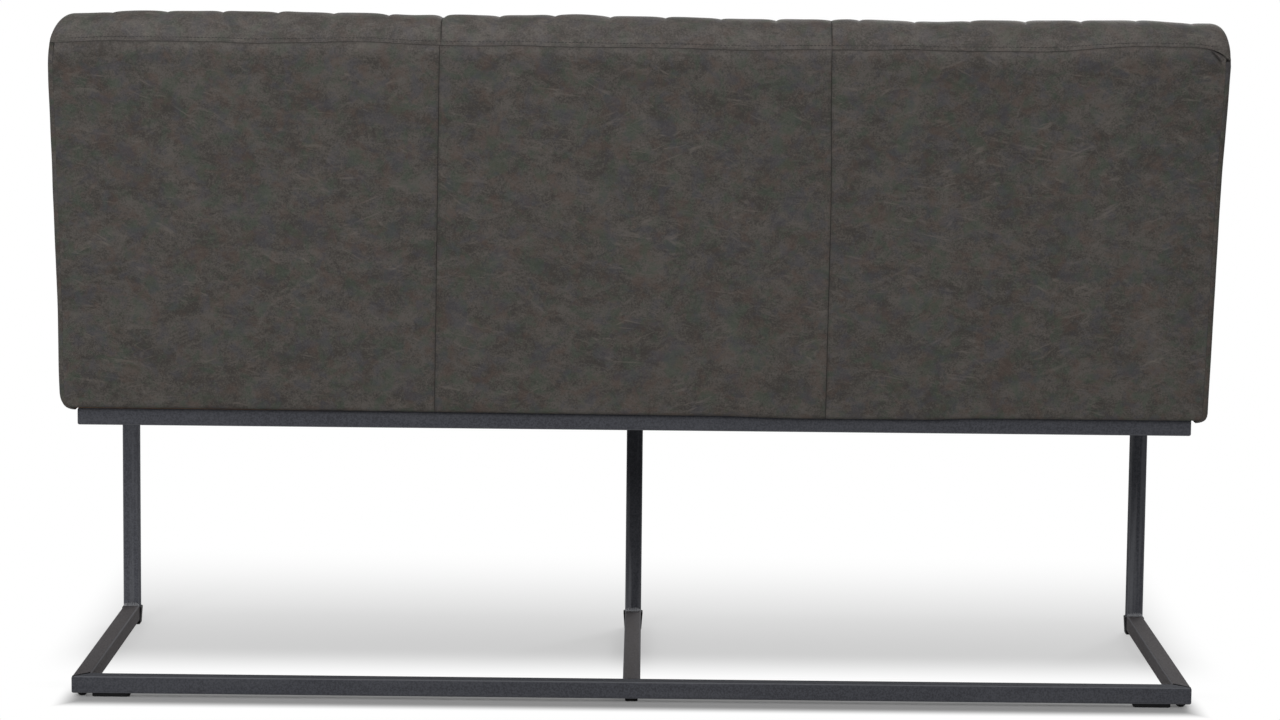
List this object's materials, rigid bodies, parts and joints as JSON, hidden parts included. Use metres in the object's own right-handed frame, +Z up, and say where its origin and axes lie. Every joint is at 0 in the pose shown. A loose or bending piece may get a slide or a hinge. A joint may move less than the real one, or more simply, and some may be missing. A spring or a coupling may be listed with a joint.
{
  "type": "dining bench",
  "caption": "Long dining bench with a leaning upholstered back and channel-sewn seat on a cantilevered sled frame of square black steel tube.",
  "frame": {"origin": "middle of the footprint on the floor", "axes": "+X along the bench, to the right of someone facing its front; the front faces -Y; +Z up"},
  "size_m": [1.54, 0.6042, 0.9184],
  "materials": {
    "black_tube": "black powder coat, fine texture, satin",
    "black_plastic": "moulded black plastic",
    "leather": "brown-grey leather-look cover, cloudy, fine grain, faint pale scratches",
    "strip_leather": "the same cover along the top edge, with a line of topstitching",
    "foam": "upholstery foam",
    "dust_cloth": "black non-woven cloth",
    "plywood": "birch plywood",
    "hardboard": "hardboard",
    "softwood": "planed softwood",
    "zinc_fasteners": "bright zinc plate",
    "bracket_steel": "bent steel strap, zinc plate"
  },
  "bodies": {
    "root": {"back_board": "hardboard", "back_bolts": "zinc_fasteners", "back_bottom_rail": "softwood", "back_brackets": "bracket_steel", "back_foam": "foam", "back_post_inner_left": "softwood", "back_post_inner_right": "softwood", "back_post_left": "softwood", "back_post_right": "softwood", "back_quilt": "leather", "back_side_left": "leather", "back_side_right": "leather", "back_top_rail": "softwood", "back_washers": "zinc_fasteners", "corner_glides": "black_plastic", "dust_cover": "dust_cloth", "front_seat_rail_left": "black_tube", "front_seat_rail_right": "black_tube", "glide_front_left": "black_plastic", "glide_front_middle": "black_plastic", "glide_front_right": "black_plastic", "glide_rear_left": "black_plastic", "glide_rear_middle": "black_plastic", "glide_rear_right": "black_plastic", "left_floor_runner": "black_tube", "left_leg": "black_tube", "left_seat_rail": "black_tube", "middle_floor_runner": "black_tube", "middle_leg": "black_tube", "middle_seat_rail": "black_tube", "rear_floor_rail": "black_tube", "rear_panel_left": "leather", "rear_panel_middle": "leather", "rear_panel_right": "leather", "rear_seat_rail": "black_tube", "right_floor_runner": "black_tube", "right_leg": "black_tube", "right_seat_rail": "black_tube", "seat_board": "plywood", "seat_bolts": "zinc_fasteners", "seat_foam": "foam", "seat_quilt": "leather", "seat_side_left": "leather", "seat_side_right": "leather", "seat_washers": "zinc_fasteners", "tee_nuts": "zinc_fasteners", "top_strip_left": "strip_leather", "top_strip_middle": "strip_leather", "top_strip_right": "strip_leather"}
  },
  "joints": []
}
